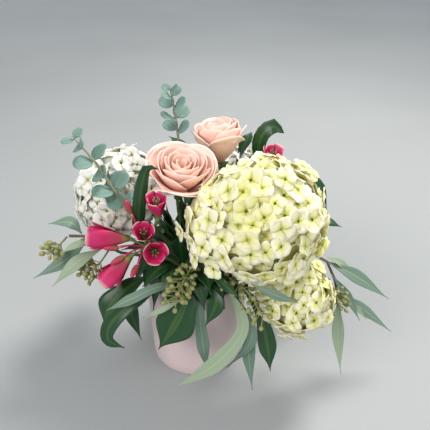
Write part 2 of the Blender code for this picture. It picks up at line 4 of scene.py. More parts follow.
import bmesh
import bpy
from mathutils import Matrix, Vector, noise


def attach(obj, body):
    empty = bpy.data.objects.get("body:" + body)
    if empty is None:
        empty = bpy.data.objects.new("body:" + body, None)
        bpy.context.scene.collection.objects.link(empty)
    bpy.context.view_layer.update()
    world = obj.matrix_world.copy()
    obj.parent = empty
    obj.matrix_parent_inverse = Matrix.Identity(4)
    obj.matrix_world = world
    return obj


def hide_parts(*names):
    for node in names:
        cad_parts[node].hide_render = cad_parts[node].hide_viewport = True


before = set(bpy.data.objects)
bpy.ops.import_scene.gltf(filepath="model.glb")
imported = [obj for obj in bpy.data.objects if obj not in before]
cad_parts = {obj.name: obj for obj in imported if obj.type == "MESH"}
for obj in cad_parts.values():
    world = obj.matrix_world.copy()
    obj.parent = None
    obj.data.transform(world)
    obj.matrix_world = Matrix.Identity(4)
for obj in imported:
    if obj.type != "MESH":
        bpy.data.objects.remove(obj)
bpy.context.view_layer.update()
mm = 0.001
rng = random.Random(7)
goldenAngle = 2.39996  # radians from one petal, floret, capsule or leaf to the next
steadyWay = Vector((0.31, 0.95, 0.07))  # no stem runs this way, so it fixes how a ring is turned


def ramp(nodes, stops):
    node = nodes.new("ShaderNodeValToRGB")
    elements = node.color_ramp.elements
    while len(elements) < len(stops):
        elements.new(0.5)
    for element, (place, colour) in zip(elements, stops):
        element.position = place
        element.color = (*colour, 1.0)
    return node


surface = dict(grainDetail=4.0, reliefDepth=0.0006, softRadius=(0.004, 0.002, 0.0015))


# colour runs along a mesh's "tip" value, and its "tint" value and a fine noise shade that colour
def plantMaterial(name, stops, shades, roughness, scale=60.0, stretch=(1, 1, 1), soft=0.0, bump=0.15,
                  speckle=0.35):
    material = bpy.data.materials.new(name)
    material.use_nodes = True
    nodes = material.node_tree.nodes
    links = material.node_tree.links
    shader = nodes["Principled BSDF"]
    shader.inputs["Roughness"].default_value = roughness
    tip = nodes.new("ShaderNodeAttribute")
    tip.attribute_name = "tip"
    tint = nodes.new("ShaderNodeAttribute")
    tint.attribute_name = "tint"
    along = ramp(nodes, stops)
    links.new(tip.outputs["Fac"], along.inputs["Fac"])
    coords = nodes.new("ShaderNodeTexCoord")
    mapping = nodes.new("ShaderNodeMapping")
    mapping.inputs["Scale"].default_value = stretch
    links.new(coords.outputs["Object"], mapping.inputs["Vector"])
    grain = nodes.new("ShaderNodeTexNoise")
    grain.inputs["Scale"].default_value = scale
    grain.inputs["Detail"].default_value = surface["grainDetail"]
    links.new(mapping.outputs["Vector"], grain.inputs["Vector"])
    blend = nodes.new("ShaderNodeMath")
    blend.operation = "MULTIPLY_ADD"
    blend.inputs[1].default_value = speckle
    links.new(grain.outputs["Fac"], blend.inputs[0])
    links.new(tint.outputs["Fac"], blend.inputs[2])
    shade = ramp(nodes, shades)
    links.new(blend.outputs[0], shade.inputs["Fac"])
    mix = nodes.new("ShaderNodeMix")
    mix.data_type = "RGBA"
    mix.blend_type = "MULTIPLY"
    mix.inputs["Factor"].default_value = 1.0
    links.new(along.outputs["Color"], mix.inputs["A"])
    links.new(shade.outputs["Color"], mix.inputs["B"])
    links.new(mix.outputs["Result"], shader.inputs["Base Color"])
    if soft:
        shader.inputs["Subsurface Weight"].default_value = soft
        shader.inputs["Subsurface Radius"].default_value = surface["softRadius"]
        shader.inputs["Subsurface Scale"].default_value = 1.0
    relief = nodes.new("ShaderNodeBump")
    relief.inputs["Strength"].default_value = bump
    relief.inputs["Distance"].default_value = surface["reliefDepth"]
    links.new(grain.outputs["Fac"], relief.inputs["Height"])
    links.new(relief.outputs["Normal"], shader.inputs["Normal"])
    return material


plainShades = ((0.0, (0.62, 0.62, 0.62)), (0.5, (0.92, 0.92, 0.92)), (1.0, (1.0, 1.0, 1.0)))
warmShades = ((0.0, (0.90, 0.74, 0.68)), (0.45, (0.98, 0.93, 0.90)), (1.0, (1.0, 1.0, 1.0)))
limeShades = ((0.0, (0.70, 0.72, 0.34)), (0.45, (0.93, 0.93, 0.70)), (0.85, (1.0, 1.0, 1.0)))
materials = {
    "pot": plantMaterial("glazedBlush", ((0.0, (0.80, 0.64, 0.64)), (1.0, (0.84, 0.70, 0.70))),
                         plainShades, 0.42, 22.0, bump=0.06, speckle=0.5),
    "foam": plantMaterial("wetFoam", ((0.0, (0.05, 0.16, 0.07)), (1.0, (0.05, 0.16, 0.07))),
                          plainShades, 0.95, 900.0, bump=0.9),
    "stem": plantMaterial("greenStem", ((0.0, (0.12, 0.22, 0.06)), (1.0, (0.20, 0.26, 0.12))),
                          plainShades, 0.6, 120.0),
    "twig": plantMaterial("greyTwig", ((0.0, (0.22, 0.17, 0.11)), (1.0, (0.27, 0.30, 0.18))),
                          plainShades, 0.65, 160.0),
    "rose": plantMaterial("rosePetal", ((0.0, (0.96, 0.40, 0.26)), (0.40, (0.98, 0.57, 0.46)),
                                        (0.75, (0.99, 0.71, 0.62)), (1.0, (1.0, 0.80, 0.75))),
                          warmShades, 0.55, 45.0, (1, 1, 0.3), 0.15),
    "calyx": plantMaterial("roseCalyx", ((0.0, (0.10, 0.24, 0.05)), (1.0, (0.20, 0.34, 0.10))),
                           plainShades, 0.6),
    "cream": plantMaterial("creamFloret", ((0.0, (0.56, 0.62, 0.10)), (0.16, (0.86, 0.83, 0.34)),
                                           (0.45, (0.95, 0.91, 0.58)), (1.0, (0.98, 0.94, 0.76))),
                           limeShades, 0.6, 90.0, soft=0.08),
    "white": plantMaterial("whiteFloret", ((0.0, (0.66, 0.68, 0.28)), (0.14, (0.90, 0.89, 0.70)),
                                           (0.4, (0.95, 0.94, 0.87)), (1.0, (0.97, 0.96, 0.92))),
                           plainShades, 0.6, 90.0, soft=0.08),
    "core": plantMaterial("floretStalks", ((0.0, (0.50, 0.54, 0.16)), (1.0, (0.58, 0.60, 0.24))),
                          plainShades, 0.8, 140.0, bump=0.6),
    "magenta": plantMaterial("magentaPetal", ((0.0, (0.22, 0.34, 0.05)), (0.16, (0.42, 0.05, 0.08)),
                                              (0.5, (0.60, 0.01, 0.11)), (0.84, (0.68, 0.03, 0.17)),
                                              (0.96, (0.84, 0.36, 0.38)), (1.0, (0.80, 0.60, 0.42))),
                             plainShades, 0.5, 90.0, soft=0.05),
    "dark": plantMaterial("darkLeaf", ((0.0, (0.030, 0.085, 0.018)), (0.12, (0.055, 0.125, 0.030)),
                                       (0.22, (0.010, 0.060, 0.016)), (1.0, (0.012, 0.070, 0.018))),
                          plainShades, 0.33, 70.0, bump=0.4),
    "silver": plantMaterial("silverLeaf", ((0.0, (0.20, 0.30, 0.20)), (0.2, (0.15, 0.27, 0.23)),
                                           (1.0, (0.20, 0.33, 0.28))), plainShades, 0.6, 80.0, bump=0.25),
    "gum": plantMaterial("gumLeaf", ((0.0, (0.30, 0.38, 0.22)), (0.15, (0.14, 0.23, 0.17)),
                                     (1.0, (0.16, 0.26, 0.20))), plainShades, 0.55, 70.0, bump=0.3),
    "sage": plantMaterial("sageLeaf", ((0.0, (0.42, 0.48, 0.28)), (0.15, (0.30, 0.40, 0.26)),
                                       (1.0, (0.34, 0.44, 0.30))), plainShades, 0.55, 70.0, bump=0.3),
    "seed": plantMaterial("seedCapsule", ((0.0, (0.20, 0.25, 0.07)), (0.6, (0.33, 0.37, 0.13)),
                                          (1.0, (0.36, 0.26, 0.13))), warmShades, 0.6, 150.0, bump=0.4),
}
print("materials done")


# a matrix whose z axis runs along the given axis from the base
def frameOf(base, axis):
    turn = Vector(axis).normalized().to_track_quat("Z", "Y").to_matrix().to_4x4()
    return Matrix.Translation(Vector(base)) @ turn


# an empty mesh that carries the two values that plantMaterial reads
def newMesh():
    bm = bmesh.new()
    bm.verts.layers.float.new("tip")
    bm.verts.layers.float.new("tint")
    return bm


def ease(value):
    value = max(0.0, min(1.0, value))
    return value * value * (3 - 2 * value)


curveSteps = 12  # samples between two keys of a curve


# evenly spaced points on a smooth curve through the keys, and each key's place on it
def curvePoints(keys, count):
    keys = [Vector(key) for key in keys]
    fine = []
    for i in range(len(keys) - 1):
        before = keys[i - 1] if i > 0 else keys[0] * 2 - keys[1]
        after = keys[i + 2] if i + 2 < len(keys) else keys[-1] * 2 - keys[-2]
        a, b = keys[i], keys[i + 1]
        for step in range(curveSteps):
            t = step / curveSteps
            fine.append(0.5 * (2 * a + (b - before) * t + (2 * before - 5 * a + 4 * b - after) * t ** 2
                               + (3 * a - before - 3 * b + after) * t ** 3))
    fine.append(keys[-1])
    marks = [0.0]
    for a, b in zip(fine, fine[1:]):
        marks.append(marks[-1] + (b - a).length)
    points = []
    i = 0
    for n in range(count):
        goal = marks[-1] * n / (count - 1)
        while i < len(fine) - 2 and marks[i + 1] < goal:
            i += 1
        part = (goal - marks[i]) / max(marks[i + 1] - marks[i], 1e-9)
        points.append(fine[i].lerp(fine[i + 1], min(1.0, part)))
    return points, [marks[curveSteps * k] / marks[-1] for k in range(len(keys))]


# a value given at the marks, eased between them
def readAt(marks, values, place):
    for i in range(len(marks) - 1):
        if place <= marks[i + 1] + 1e-9:
            part = ease((place - marks[i]) / (marks[i + 1] - marks[i]))
            return values[i] + (values[i + 1] - values[i]) * part
    return values[-1]


# a grid laid over a shape: shape(u, v) gives a point in millimetres and its tip value
def sheet(bm, columns, rows, shape, tint):
    tipLayer = bm.verts.layers.float["tip"]
    tintLayer = bm.verts.layers.float["tint"]
    made = bmesh.ops.create_grid(bm, x_segments=columns, y_segments=rows, size=1.0)
    for vert in made["verts"]:
        point, tip = shape(vert.co.x, (vert.co.y + 1) / 2)
        vert.co = point
        vert[tipLayer] = tip
        vert[tintLayer] = tint


# rings along a curve, bridged one to the next and closed at both ends
def tube(bm, keys, radii, tint=0.5, sides=8, stations=16):
    tipLayer = bm.verts.layers.float["tip"]
    tintLayer = bm.verts.layers.float["tint"]
    points, marks = curvePoints(keys, stations)
    rings = []
    for n, point in enumerate(points):
        place = n / (stations - 1)
        ahead = (points[min(n + 1, stations - 1)] - points[max(n - 1, 0)]).normalized()
        side = ahead.cross(steadyWay).normalized()
        made = bmesh.ops.create_circle(bm, segments=sides, radius=readAt(marks, radii, place))
        matrix = Matrix((side, ahead.cross(side), ahead)).transposed().to_4x4()
        matrix.translation = point
        bmesh.ops.transform(bm, matrix=matrix, verts=made["verts"])
        for vert in made["verts"]:
            vert[tipLayer] = place
            vert[tintLayer] = tint
        rings.append(made["verts"])
    for low, high in zip(rings, rings[1:]):
        edges = {e for v in low for e in v.link_edges if e.other_vert(v) in low}
        edges |= {e for v in high for e in v.link_edges if e.other_vert(v) in high}
        bmesh.ops.bridge_loops(bm, edges=list(edges))
    for ring in (rings[0], rings[-1]):
        bmesh.ops.contextual_create(bm, geom=ring)


# a mesh drawn in millimetres becomes a piece that stands for the named CAD nodes
def finishPiece(name, bm, material, nodes=(), thick=0.0):
    bmesh.ops.scale(bm, vec=(mm, mm, mm), verts=bm.verts)
    bmesh.ops.recalc_face_normals(bm, faces=bm.faces)
    for face in bm.faces:
        face.smooth = True
    mesh = bpy.data.meshes.new(name)
    bm.to_mesh(mesh)
    bm.free()
    mesh.materials.append(materials[material])
    piece = bpy.data.objects.new(name, mesh)
    bpy.context.scene.collection.objects.link(piece)
    if thick:
        plate = piece.modifiers.new("thickness", "SOLIDIFY")
        plate.thickness = thick * mm
        plate.offset = 0.0
    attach(piece, "root")
    if nodes:
        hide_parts(*nodes)
    return piece


leafShape = dict(fold=0.16, columns=8, waves=17, skew=1.5)


# a leaf blade laid along its midrib, its edges raised by the fold and wavy where asked
def leafSheet(bm, keys, half, face, tint, rows, wave=0.0):
    s = leafShape
    points, marks = curvePoints(keys, rows + 1)
    sides = []
    for n in range(rows + 1):
        ahead = (points[min(n + 1, rows)] - points[max(n - 1, 0)]).normalized()
        normal = Vector(face) - ahead * Vector(face).dot(ahead)
        normal.normalize()
        sides.append((ahead.cross(normal), normal))

    def shape(u, v):
        n = min(rows, round(v * rows))
        side, normal = sides[n]
        wide = readAt(marks, half, v)
        lift = s["fold"] * wide * u * u + wave * wide * sin(v * s["waves"] + u * s["skew"]) * abs(u)
        return points[n] + side * wide * u + normal * lift, abs(u)

    sheet(bm, s["columns"], rows, shape, tint)


# the pot: a turned shell with a softened foot and a rounded rim
potShape = dict(foot=54.5, base=57.0, rim=62.0, height=122.0, wall=4.5, floor=6.0, footRound=(1.6, 0.7),
                footRise=2.5, corner=3.0, wallSteps=8, rimStep=20, facets=96, tint=0.55)


def makePot():
    s = potShape
    bm = newMesh()
    rise = s["footRise"]
    out, up = s["footRound"]
    outline = [(0.0, 0.0), (s["foot"], 0.0), (s["foot"] + out, up), (s["base"], rise)]
    steps = s["wallSteps"]
    outline += [(s["base"] + (s["rim"] - s["base"]) * k / steps, rise + (s["height"] - 2 * rise) * k / steps)
                for k in range(1, steps + 1)]
    half = s["wall"] / 2
    mid = s["rim"] - half
    outline += [(mid + half * cos(a), s["height"] - half + half * sin(a))
                for a in [radians(s["rimStep"] * k) for k in range(1, 9)]]
    outline += [(s["rim"] - s["wall"], s["height"] - s["corner"]),
                (s["base"] - s["wall"], s["floor"] + s["corner"]),
                (s["base"] - s["wall"] - s["corner"], s["floor"]), (0.0, s["floor"])]
    verts = [bm.verts.new((r, 0.0, z)) for r, z in outline]
    edges = [bm.edges.new(pair) for pair in zip(verts, verts[1:])]
    bmesh.ops.spin(bm, geom=verts + edges, cent=(0, 0, 0), axis=(0, 0, 1), angle=2 * pi,
                   steps=s["facets"], use_merge=True)
    bmesh.ops.remove_doubles(bm, verts=bm.verts, dist=0.01)
    tintLayer = bm.verts.layers.float["tint"]
    for vert in bm.verts:
        vert[tintLayer] = s["tint"]
    finishPiece("pot_body", bm, "pot", ("pot",))


makePot()
print("pot done")


# the foam, the stems and the calyxes keep their CAD shape and only get a finish
def keepCad():
    finishes = {"foam": "foam"}
    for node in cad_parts:
        if node.endswith("_stem"):
            finishes[node] = "twig" if node.startswith("seeded") else "stem"
        if node.endswith("_calyx"):
            finishes[node] = "calyx"
    for node, finish in finishes.items():
        bpy.data.objects[node].material_slots[0].material = materials[finish]


keepCad()
print("foam, stems and calyxes done")

roses = {
    "rose_front": dict(base=(-18, -5, 228), axis=(0.15, -0.26, 0.95), size=1.08, tall=1.04, guards=7,
                       spread=1.05, turn=0.4, petals=4),
    "rose_rear": dict(base=(31, 52, 236), axis=(-0.10, 0.06, 0.99), size=0.90, tall=1.14, guards=5,
                      spread=0.75, turn=1.9, petals=3),
}
innerPetals = dict(count=20, halfAngle=1.75, narrowing=0.85, radius=3.0, spread=25.0, height=42.0,
                   crown=4.0, flare=0.5, flareGain=2.5, curl=0.8, curlGain=1.5, tint=0.05, tintGain=0.45,
                   ruffle=0.4, thick=0.5)
guardPetals = dict(halfAngle=0.86, radius=29.0, radiusStep=1.4, height=41.0, heightStep=1.5, flare=9.0,
                   curl=5.5, tint=0.55, tintStep=0.1, ruffle=0.8, thick=0.6)
petalShape = dict(rows=12, lipStart=0.62, belly=2.3, overlap=1.6, foot=4, tipRange=0.85)


# one petal round the axis of a bloom: a belly, then a lip that flares and curls down
def rosePetal(bm, matrix, turn, halfAngle, radius, height, flare, curl, tint, ruffle):
    s = petalShape
    phase = turn * 3.1

    def shape(u, v):
        rounded = v * (1 - 0.13 * u * u * u * u - 0.05 * u * u)  # the top edge drops at its corners
        fullness = sin(pi * (0.16 + 0.56 * v)) ** 0.8  # narrow foot, widest just below the lip
        angle = turn + halfAngle * u * fullness
        belly = radius * (1 - (1 - rounded) ** s["belly"])
        lip = ease((v - s["lipStart"]) / (1 - s["lipStart"]))
        reach = belly + flare * lip + s["overlap"] * (u + 1) / 2 + ruffle * sin(4 * u + phase) * lip
        lift = s["foot"] + height * rounded ** 0.92 - curl * lip ** 2 * (0.6 + 0.4 * u * u)
        tip = (1 - s["tipRange"]) + s["tipRange"] * v * (0.85 + 0.15 * abs(u))  # paler to the edge
        return matrix @ Vector((reach * cos(angle), reach * sin(angle), lift)), tip

    sheet(bm, s["rows"], s["rows"], shape, tint)


def makeRose(name, spec):
    size = Matrix.Diagonal((spec["size"], spec["size"], spec["tall"], 1))
    matrix = frameOf(spec["base"], spec["axis"]) @ size
    s = innerPetals
    heart = newMesh()
    for i in range(s["count"]):
        part = i / (s["count"] - 1)
        rosePetal(heart, matrix, spec["turn"] + i * goldenAngle,
                  halfAngle=s["halfAngle"] - s["narrowing"] * part,
                  radius=s["radius"] + s["spread"] * part ** 0.85,
                  height=s["height"] + s["crown"] * sin(part * pi),
                  flare=s["flare"] + s["flareGain"] * part,
                  curl=s["curl"] + s["curlGain"] * part,
                  tint=s["tint"] + s["tintGain"] * part, ruffle=s["ruffle"])
    finishPiece(name + "_inner_petals", heart, "rose", (name + "_heart",), s["thick"])
    g = guardPetals
    outer = newMesh()
    for i in range(spec["guards"]):
        turn = spec["turn"] + 2 * pi * i / spec["guards"] + 0.25 * sin(i * 2.1)  # unevenly spaced
        openness = spec["spread"] * (0.75 + 0.35 * sin(i * 1.7 + 1.0))
        rosePetal(outer, matrix, turn, g["halfAngle"], radius=g["radius"] + g["radiusStep"] * (i % 3),
                  height=g["height"] - g["heightStep"] * (i % 3), flare=g["flare"] * openness,
                  curl=g["curl"] * openness, tint=g["tint"] + g["tintStep"] * (i % 2), ruffle=g["ruffle"])
    nodes = [f"{name}_petal_{k + 1}" for k in range(spec["petals"])]
    finishPiece(name + "_guard_petals", outer, "rose", nodes, g["thick"])


for roseName, roseSpec in roses.items():
    makeRose(roseName, roseSpec)
print("roses done")

# swellings are bulges and hollows of a head: direction, height, spread in degrees
hydrangeas = {
    "hydrangea_front": dict(centre=(70, -44, 217), axis=(0.20, -0.45, 0.87), radius=72, florets=230,
                            swellings=(((-0.90, -0.42, -0.05), 18, 30), ((-0.55, 0.45, 0.70), -9, 34)),
                            petal=13.0, material="cream", slot="hydrangea_cream"),
    "hydrangea_low": dict(centre=(112, -58, 124), axis=(0.62, -0.72, 0.30), radius=44, florets=110,
                          swellings=(), petal=11.0, material="cream", slot="hydrangea_cream"),
    "hydrangea_white": dict(centre=(-88, 42, 200), axis=(-0.55, -0.05, 0.83), radius=60, florets=170,
                            swellings=(), petal=12.0, material="white", slot="hydrangea_white"),
    "hydrangea_rear": dict(centre=(50, 104, 184), axis=(0.35, 0.74, 0.57), radius=52, florets=140,
                           swellings=(), petal=12.0, material="white", slot="hydrangea_white"),
}
headShape = dict(underside=0.55, cover=1.72, sunk=(1.0, 9.0), lump=7.0, lumpScale=3.1, tilt=0.42,
                 size=(0.85, 1.12), shade=0.55, shadeRange=0.45, shadeScale=2.2, leftLight=0.35,
                 jitter=0.08, core=9.0, coreLump=2.5, coreScale=9.0, coreTint=0.3)
floretShape = dict(petals=4, width=(0.52, 0.66), uneven=0.12, droop=(-0.10, 0.12), cup=(-0.08, 0.12),
                   tint=0.12, grid=3, thick=0.4)


# how far a head's surface lies from its centre in a direction
def headReach(spec, way):
    along = way.dot(Vector(spec["axis"]).normalized())
    radius = spec["radius"]
    height = radius * (1.0 if along > 0 else headShape["underside"])
    reach = 1 / sqrt((1 - along * along) / radius ** 2 + along * along / height ** 2)
    for direction, rise, spread in spec["swellings"]:
        away = acos(max(-1, min(1, way.dot(Vector(direction).normalized()))))
        reach += rise * exp(-(away / radians(spread)) ** 2)
    return reach


# four petals in a cross, each a small curved plate
def floret(bm, matrix, size, tint, cup):
    s = floretShape
    spin = rng.uniform(0, pi / 2)
    for k in range(s["petals"]):
        turn = spin + k * 2 * pi / s["petals"] + rng.uniform(-s["uneven"], s["uneven"])
        wide = size * rng.uniform(*s["width"])
        droop = rng.uniform(*s["droop"])

        def shape(u, v):
            span = wide * (sin(pi * (0.10 + 0.78 * v)) ** 0.75) * u  # narrow foot, round tip
            out = size * (0.10 + 0.92 * v * (1 - 0.10 * u * u))
            lift = cup * size * v * v - droop * size * v + 0.10 * size * u * u * v
            point = Vector((out * cos(turn) - span * sin(turn), out * sin(turn) + span * cos(turn), lift))
            return matrix @ point, v

        sheet(bm, s["grid"], s["grid"], shape, tint)


def makeHydrangea(name, spec):
    s = headShape
    f = floretShape
    bm = newMesh()
    centre = Vector(spec["centre"])
    turn = frameOf(centre, spec["axis"]).to_3x3()
    for n in range(spec["florets"]):
        up = 1 - s["cover"] * (n + 0.5) / spec["florets"]
        out = sqrt(max(0.0, 1 - up * up))
        angle = n * goldenAngle + rng.uniform(-s["jitter"], s["jitter"])
        way = turn @ Vector((out * cos(angle), out * sin(angle), up))
        reach = headReach(spec, way) - rng.uniform(*s["sunk"]) + s["lump"] * noise.noise(way * s["lumpScale"])
        tilt = Vector((rng.uniform(-1, 1), rng.uniform(-1, 1), rng.uniform(-1, 1))) * s["tilt"]
        size = spec["petal"] * rng.uniform(*s["size"])
        patch = noise.noise(way * s["shadeScale"] + Vector((spec["radius"], 0, 0)))
        shade = s["shade"] + s["shadeRange"] * patch
        shade += s["leftLight"] * max(0.0, -way.x - 0.2)  # painted light: the left side of every head is paler
        floret(bm, frameOf(centre + way * reach, way + tilt), size,
               shade + rng.uniform(-f["tint"], f["tint"]), rng.uniform(*f["cup"]))
    core = newMesh()
    made = bmesh.ops.create_icosphere(core, subdivisions=4, radius=1.0)
    tintLayer = core.verts.layers.float["tint"]
    for vert in made["verts"]:
        way = vert.co.normalized()
        vert[tintLayer] = s["coreTint"]
        bump = s["coreLump"] * noise.noise(way * s["coreScale"])
        vert.co = centre + way * (headReach(spec, way) - s["core"] + bump)
    finishPiece(name + "_florets", bm, spec["material"], (name + "_head",), f["thick"])
    finishPiece(name + "_stalks", core, "core")


for headName, headSpec in hydrangeas.items():
    makeHydrangea(headName, headSpec)
print("hydrangeas done")

# alstroemeria: where the stalks part, then each flower's base, middle of its mouth and mouth radius
umbel = Vector((-52, -40, 180))
rearStem = Vector((80, 50, 223))
trumpets = {
    "alstroemeria_left_flower_1": ((-70, -44, 194), (-120, -42, 197), 17),
    "alstroemeria_left_flower_2": ((-69, -51, 176), (-103, -54, 140), 16),
    "alstroemeria_left_flower_5": ((-43, -54, 186), (-39, -74, 194), 15),
    "alstroemeria_left_flower_4": ((-52, -54, 200), (-51, -68, 220), 13),
    "alstroemeria_left_flower_3": ((-36, -50, 226), (-37, -58, 254), 12),
    "alstroemeria_rear_flower": ((86, 46, 236), (92, 38, 266), 14),
}
# width, reach, lap and tip: the three outer petals, then the three inner ones
trumpetShape = dict(width=(0.60, 0.42), reach=(1.0, 0.86), lap=(1.6, 0.8), tip=(1.0, 0.92), throat=1.6,
                    bend=(0.9, 1.2), grid=(4, 9), tint=(0.3, 0.7), thick=0.4,
                    stalk=(1.2, 1.1, 2.6, 1.6), stamens=5, stamen=(0.4, 0.35, 0.7), stamenTurn=1.25)


def makeTrumpet(name, base, mouth, radius):
    s = trumpetShape
    start = rearStem if "rear" in name else umbel
    base = Vector(base)
    length = (Vector(mouth) - base).length
    matrix = frameOf(base, Vector(mouth) - base)
    bm = newMesh()
    for k in range(6):
        inner = k % 2
        turn = k * pi / 3 + 0.3
        wide = radius * s["width"][inner]
        reachOut = radius * s["reach"][inner]
        bend = rng.uniform(*s["bend"])

        def shape(u, v):
            opening = 0.82 * (v ** 1.3) * (1.12 - 0.30 * v) * bend  # slow at first, then wide
            out = s["throat"] + reachOut * opening + s["lap"][inner]
            along = length * (1.05 * v - 0.16 * v ** 4)  # rises less near the tip, where the petal flares
            span = wide * (0.16 + 0.84 * sin(pi * (0.02 + 0.80 * v)) ** 1.1) * u
            out -= 0.12 * wide * u * u
            point = Vector((out * cos(turn) - span * sin(turn), out * sin(turn) + span * cos(turn), along))
            return matrix @ point, v * s["tip"][inner]

        sheet(bm, *s["grid"], shape, rng.uniform(*s["tint"]))
    finishPiece(name + "_petals", bm, "magenta", (name,), s["thick"])
    stalk = newMesh()
    tube(stalk, (start, start.lerp(base, 0.5), base, matrix @ Vector((0, 0, 5))), s["stalk"])
    for k in range(s["stamens"]):
        turn = k * s["stamenTurn"]
        way = Vector((cos(turn), sin(turn), 0))
        tube(stalk, (matrix @ Vector((0, 0, 3)), matrix @ (way * 1.5 + Vector((0, 0, length * 0.5))),
                     matrix @ (way * 3.5 + Vector((0, 0, length * 0.88)))),
             s["stamen"], sides=5, stations=6)
    finishPiece(name + "_stalk", stalk, "stem")


for flowerName, (flowerBase, flowerMouth, flowerRadius) in trumpets.items():
    makeTrumpet(flowerName, flowerBase, flowerMouth, flowerRadius)

# closed buds on their stalks: foot of the bud and the way it points
buds = (((-84, -50, 186), (-0.8, -0.2, 0.1)), ((-78, -54, 176), (-0.7, -0.3, -0.3)),
        ((-66, -48, 230), (-0.2, -0.1, 0.95)), ((-62, -60, 168), (-0.3, -0.8, -0.3)))
budShape = dict(radius=4.2, taper=0.35, half=9.0, rise=6.0, tint=0.6, stalk=(1.0, 0.9, 1.6))


def makeBuds():
    s = budShape
    bm = newMesh()
    tipLayer = bm.verts.layers.float["tip"]
    tintLayer = bm.verts.layers.float["tint"]
    for foot, way in buds:
        foot = Vector(foot)
        tube(bm, (umbel, umbel.lerp(foot, 0.5) + Vector((0, 0, 3)), foot), s["stalk"], stations=8)
        made = bmesh.ops.create_uvsphere(bm, u_segments=12, v_segments=9, radius=1.0)
        for vert in made["verts"]:
            along = (vert.co.z + 1) / 2
            vert[tipLayer] = 0.05 + 0.28 * along  # green at the foot, pink at the tip
            vert[tintLayer] = s["tint"]
            swell = s["radius"] * (1 - s["taper"] * along)
            vert.co = Vector((vert.co.x * swell, vert.co.y * swell, vert.co.z * s["half"] + s["rise"]))
        bmesh.ops.transform(bm, matrix=frameOf(foot, way), verts=made["verts"])
    finishPiece("alstroemeria_buds", bm, "magenta")


makeBuds()
print("alstroemeria done")

